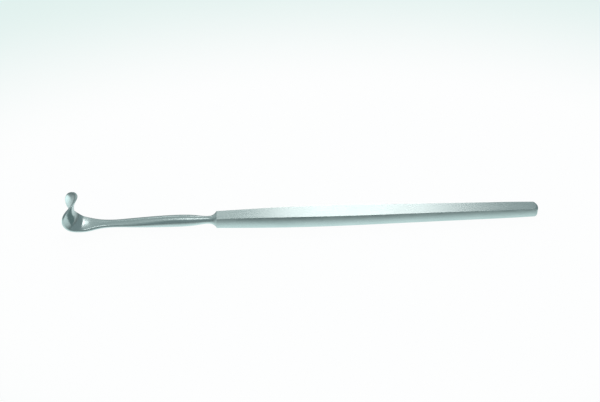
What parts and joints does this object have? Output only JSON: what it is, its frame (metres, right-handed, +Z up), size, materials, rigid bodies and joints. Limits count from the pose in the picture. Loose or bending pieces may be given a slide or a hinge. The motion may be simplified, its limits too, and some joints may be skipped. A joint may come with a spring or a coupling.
{
  "type": "handheld surgical retractor",
  "caption": "Slender one-piece steel lid retractor: flat tapering handle, waisted shank and a hooked, saddle-curved blade with a rounded lip.",
  "frame": {"origin": "centre of the bounding box in plan, at the height of the table that the handle's underside lies on", "axes": "+X along the handle from the blade to the tail, +Z up, the way the hook opens; Y is the width"},
  "size_m": [0.14, 0.0112, 0.0124],
  "materials": {
    "retractor": "satin ground stainless steel"
  },
  "bodies": {
    "root": {"retractor": "retractor"}
  },
  "joints": []
}
